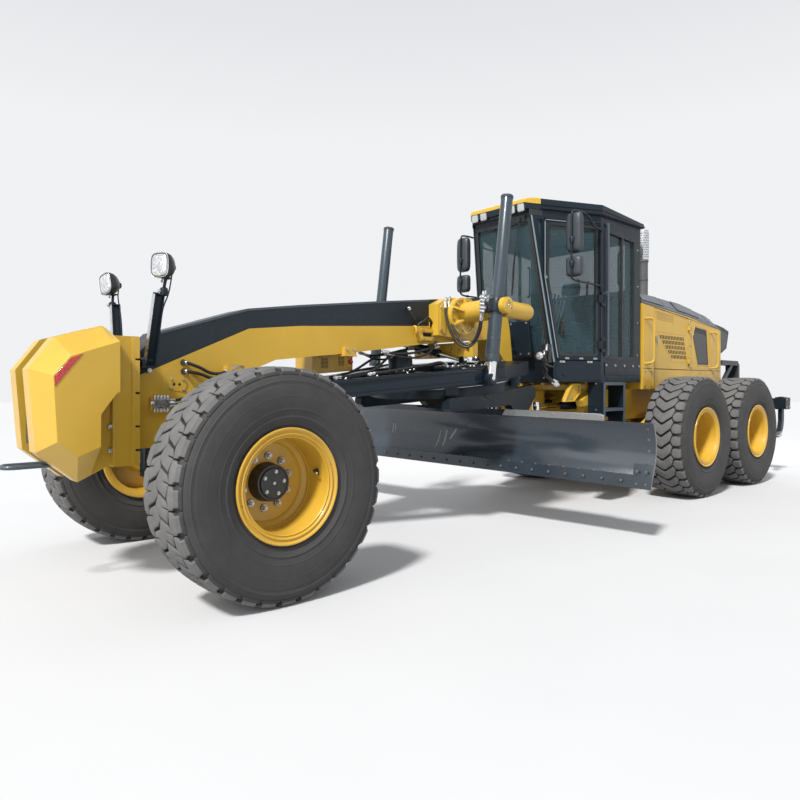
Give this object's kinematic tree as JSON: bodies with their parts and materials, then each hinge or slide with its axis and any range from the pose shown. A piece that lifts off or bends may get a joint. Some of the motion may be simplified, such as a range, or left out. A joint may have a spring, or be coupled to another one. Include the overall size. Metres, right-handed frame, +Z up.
{
  "type": "motor grader",
  "caption": "Articulated motor grader with a long arched front frame, a raised curved blade on a turning circle, an enclosed cab, tandem rear wheels, a nose weight and a rear ripper.",
  "frame": {"origin": "on the ground under the middle of the machine's overall length and width", "axes": "+Z up, -Y the way the machine drives, +X its own left side"},
  "size_m": [4.2736, 10.645, 3.5398],
  "materials": {
    "machine_yellow": "semi gloss",
    "frame_navy": "semi gloss",
    "tyre_rubber": "matt",
    "rod_chrome": "polished",
    "black_trim": "matt",
    "clear_glass": "clear",
    "seat_cloth": "woven",
    "blade_steel": "semi gloss",
    "cast_grey": "as cast",
    "exhaust_steel": "brushed"
  },
  "bodies": {
    "rear_frame": {"rear_frame": "machine_yellow", "tandem_axle": "machine_yellow", "cab_shell": "frame_navy", "cab_roof": "frame_navy", "cab_glass": "clear_glass", "driver_seat": "seat_cloth", "control_console": "black_trim", "engine_hood": "machine_yellow", "hood_cover": "frame_navy", "radiator_guard": "black_trim", "engine_block": "cast_grey", "exhaust_stack": "exhaust_steel", "boarding_steps": "frame_navy"},
    "front_frame": {"gooseneck": "machine_yellow", "front_weight": "machine_yellow", "lift_saddle": "machine_yellow", "headlights": "frame_navy", "front_axle": "frame_navy", "lift_barrels": "frame_navy", "side_box": "machine_yellow"},
    "knuckle_left": {"knuckle_left": "frame_navy"},
    "knuckle_right": {"knuckle_right": "frame_navy"},
    "tie_rod": {"tie_rod": "frame_navy"},
    "drawbar": {"drawbar": "frame_navy"},
    "circle": {"circle": "frame_navy", "tip_barrel": "frame_navy"},
    "blade_carrier": {"blade_carrier": "frame_navy"},
    "moldboard": {"moldboard": "blade_steel"},
    "lift_rods": {"lift_rods": "rod_chrome"},
    "shift_barrel": {"shift_barrel": "frame_navy"},
    "shift_rod": {"shift_rod": "rod_chrome"},
    "tip_rod": {"tip_rod": "rod_chrome"},
    "ripper_links": {"ripper_links": "frame_navy"},
    "ripper_beam": {"ripper_beam": "frame_navy"},
    "ripper_barrel": {"ripper_barrel": "frame_navy"},
    "ripper_rod": {"ripper_rod": "rod_chrome"},
    "articulation_barrel_left": {"articulation_barrel_left": "frame_navy"},
    "articulation_rod_left": {"articulation_rod_left": "rod_chrome"},
    "cab_door_left": {"cab_door_left": "frame_navy", "door_glass_left": "clear_glass", "mirror_left": "black_trim"},
    "engine_door_left": {"engine_door_left": "machine_yellow"},
    "articulation_barrel_right": {"articulation_barrel_right": "frame_navy"},
    "articulation_rod_right": {"articulation_rod_right": "rod_chrome"},
    "cab_door_right": {"cab_door_right": "frame_navy", "door_glass_right": "clear_glass", "mirror_right": "black_trim"},
    "engine_door_right": {"engine_door_right": "machine_yellow"},
    "wheel_front_left": {"tyre_front_left": "tyre_rubber", "rim_front_left": "machine_yellow"},
    "wheel_front_right": {"tyre_front_right": "tyre_rubber", "rim_front_right": "machine_yellow"},
    "wheel_middle_left": {"tyre_middle_left": "tyre_rubber", "rim_middle_left": "machine_yellow"},
    "wheel_middle_right": {"tyre_middle_right": "tyre_rubber", "rim_middle_right": "machine_yellow"},
    "wheel_rear_left": {"tyre_rear_left": "tyre_rubber", "rim_rear_left": "machine_yellow"},
    "wheel_rear_right": {"tyre_rear_right": "tyre_rubber", "rim_rear_right": "machine_yellow"}
  },
  "joints": [
    {"name": "articulation", "type": "hinge", "parent": "rear_frame", "child": "front_frame", "pos_m": [0, 0.33, 1.15], "axis": [0, 0, 1], "range_deg": [-25, 25]},
    {"name": "articulation_barrel_left_swing", "type": "hinge", "parent": "rear_frame", "child": "articulation_barrel_left", "pos_m": [0.38, 1.23, 1.14], "axis": [0, 0, 1], "range_deg": [-6.3, 6.3]},
    {"name": "articulation_rod_left_slide", "type": "slide", "parent": "articulation_barrel_left", "child": "articulation_rod_left", "axis": [-0.0649, -0.9979, 0], "range_m": [-0.14146, 0.14146]},
    {"name": "articulation_barrel_right_swing", "type": "hinge", "parent": "rear_frame", "child": "articulation_barrel_right", "pos_m": [-0.38, 1.23, 1.14], "axis": [0, 0, 1], "range_deg": [-6.3, 6.3]},
    {"name": "articulation_rod_right_slide", "type": "slide", "parent": "articulation_barrel_right", "child": "articulation_rod_right", "axis": [0.0649, -0.9979, 0], "range_m": [-0.14146, 0.14146]},
    {"name": "steering", "type": "hinge", "parent": "front_frame", "child": "knuckle_left", "pos_m": [0.86, -4.02, 0.745], "axis": [0, 0, 1], "range_deg": [-45, 45]},
    {"name": "steering_right", "type": "hinge", "parent": "front_frame", "child": "knuckle_right", "pos_m": [-0.86, -4.02, 0.745], "axis": [0, 0, 1], "range_deg": [-45.5, 45.5]},
    {"name": "tie_rod_swing", "type": "hinge", "parent": "knuckle_left", "child": "tie_rod", "pos_m": [0.86, -3.77, 0.616], "axis": [0, 0, 1], "range_deg": [-45.5, 45.5]},
    {"name": "wheel_front_left_spin", "type": "hinge", "parent": "knuckle_left", "child": "wheel_front_left", "pos_m": [1.1725, -4.02, 0.745], "axis": [1, 0, 0], "continuous": true},
    {"name": "wheel_front_right_spin", "type": "hinge", "parent": "knuckle_right", "child": "wheel_front_right", "pos_m": [-1.1725, -4.02, 0.745], "axis": [1, 0, 0], "continuous": true},
    {"name": "wheel_middle_left_spin", "type": "hinge", "parent": "rear_frame", "child": "wheel_middle_left", "pos_m": [1.1725, 1.975, 0.745], "axis": [1, 0, 0], "continuous": true},
    {"name": "wheel_middle_right_spin", "type": "hinge", "parent": "rear_frame", "child": "wheel_middle_right", "pos_m": [-1.1725, 1.975, 0.745], "axis": [1, 0, 0], "continuous": true},
    {"name": "wheel_rear_left_spin", "type": "hinge", "parent": "rear_frame", "child": "wheel_rear_left", "pos_m": [1.1725, 3.625, 0.745], "axis": [1, 0, 0], "continuous": true},
    {"name": "wheel_rear_right_spin", "type": "hinge", "parent": "rear_frame", "child": "wheel_rear_right", "pos_m": [-1.1725, 3.625, 0.745], "axis": [1, 0, 0], "continuous": true},
    {"name": "blade_lift", "type": "hinge", "parent": "front_frame", "child": "drawbar", "pos_m": [0, -3.47, 1.27], "axis": [-1, 0, 0], "range_deg": [0, 24]},
    {"name": "lift_rods_slide", "type": "slide", "parent": "front_frame", "child": "lift_rods", "axis": [0, -0.1351, -0.9908], "range_m": [-0.01, 0.8428]},
    {"name": "shift_barrel_swing", "type": "hinge", "parent": "front_frame", "child": "shift_barrel", "pos_m": [-0.55, -1.37, 1.86], "axis": [0, 1, 0], "range_deg": [-1, 39.24]},
    {"name": "shift_rod_slide", "type": "slide", "parent": "shift_barrel", "child": "shift_rod", "axis": [0.9719, 0, -0.2355], "range_m": [-0.01, 0.43816]},
    {"name": "circle_turn", "type": "hinge", "parent": "drawbar", "child": "circle", "pos_m": [0, -1.28205, 1.49996], "axis": [-0.0318, 0.1045, -0.994], "range_deg": [-44.2, 55.8]},
    {"name": "blade_tip", "type": "hinge", "parent": "circle", "child": "blade_carrier", "pos_m": [-0.04481, -0.81997, 0.66597], "axis": [0.9944, 0.1038, -0.0209], "range_deg": [-5, 40]},
    {"name": "tip_rod_slide", "type": "slide", "parent": "circle", "child": "tip_rod", "axis": [0.0907, -0.9365, -0.3386], "range_m": [-0.05, 0.29017]},
    {"name": "blade_side_shift", "type": "slide", "parent": "blade_carrier", "child": "moldboard", "axis": [0.9944, 0.1038, -0.0209], "range_m": [-0.55, 0.55]},
    {"name": "ripper_lift", "type": "hinge", "parent": "rear_frame", "child": "ripper_links", "pos_m": [0, 4.28, 0.8], "axis": [-1, 0, 0], "range_deg": [0, 60]},
    {"name": "ripper_beam_level", "type": "hinge", "parent": "ripper_links", "child": "ripper_beam", "pos_m": [0, 5.03, 1], "axis": [-1, 0, 0], "range_deg": [-60.5, 0.5]},
    {"name": "ripper_barrel_swing", "type": "hinge", "parent": "rear_frame", "child": "ripper_barrel", "pos_m": [0, 4.28, 1.4], "axis": [-1, 0, 0], "range_deg": [-1, 40.08]},
    {"name": "ripper_rod_slide", "type": "slide", "parent": "ripper_barrel", "child": "ripper_rod", "axis": [0, 0.9108, -0.4129], "range_m": [-0.01, 0.43189]},
    {"name": "cab_door_left_swing", "type": "hinge", "parent": "rear_frame", "child": "cab_door_left", "pos_m": [0.785, 0.597, 2.45], "axis": [0, 0, 1], "range_deg": [0, 95]},
    {"name": "engine_door_left_swing", "type": "hinge", "parent": "rear_frame", "child": "engine_door_left", "pos_m": [0.785, 2.869, 1.95], "axis": [0, 0, 1], "range_deg": [0, 100]},
    {"name": "cab_door_right_swing", "type": "hinge", "parent": "rear_frame", "child": "cab_door_right", "pos_m": [-0.785, 0.597, 2.45], "axis": [0, 0, -1], "range_deg": [0, 95]},
    {"name": "engine_door_right_swing", "type": "hinge", "parent": "rear_frame", "child": "engine_door_right", "pos_m": [-0.785, 2.869, 1.95], "axis": [0, 0, -1], "range_deg": [0, 100]}
  ],
  "couplings": [
    {"joint": "articulation_barrel_left_swing", "follows": "articulation", "ratio": 0.24722},
    {"joint": "articulation_rod_left_slide", "follows": "articulation", "m_per_rad": -0.31784},
    {"joint": "articulation_barrel_right_swing", "follows": "articulation", "ratio": 0.24722},
    {"joint": "articulation_rod_right_slide", "follows": "articulation", "m_per_rad": 0.31784},
    {"joint": "steering_right", "follows": "steering", "ratio": 1},
    {"joint": "tie_rod_swing", "follows": "steering", "ratio": -1},
    {"joint": "lift_rods_slide", "follows": "blade_lift", "m_per_rad": 1.9921},
    {"joint": "shift_barrel_swing", "follows": "blade_lift", "ratio": 1.6188},
    {"joint": "shift_rod_slide", "follows": "blade_lift", "m_per_rad": 1.0357},
    {"joint": "tip_rod_slide", "follows": "blade_tip", "m_per_rad": 0.41152},
    {"joint": "ripper_beam_level", "follows": "ripper_lift", "ratio": -1},
    {"joint": "ripper_barrel_swing", "follows": "ripper_lift", "ratio": 0.66131},
    {"joint": "ripper_rod_slide", "follows": "ripper_lift", "m_per_rad": 0.40834}
  ]
}
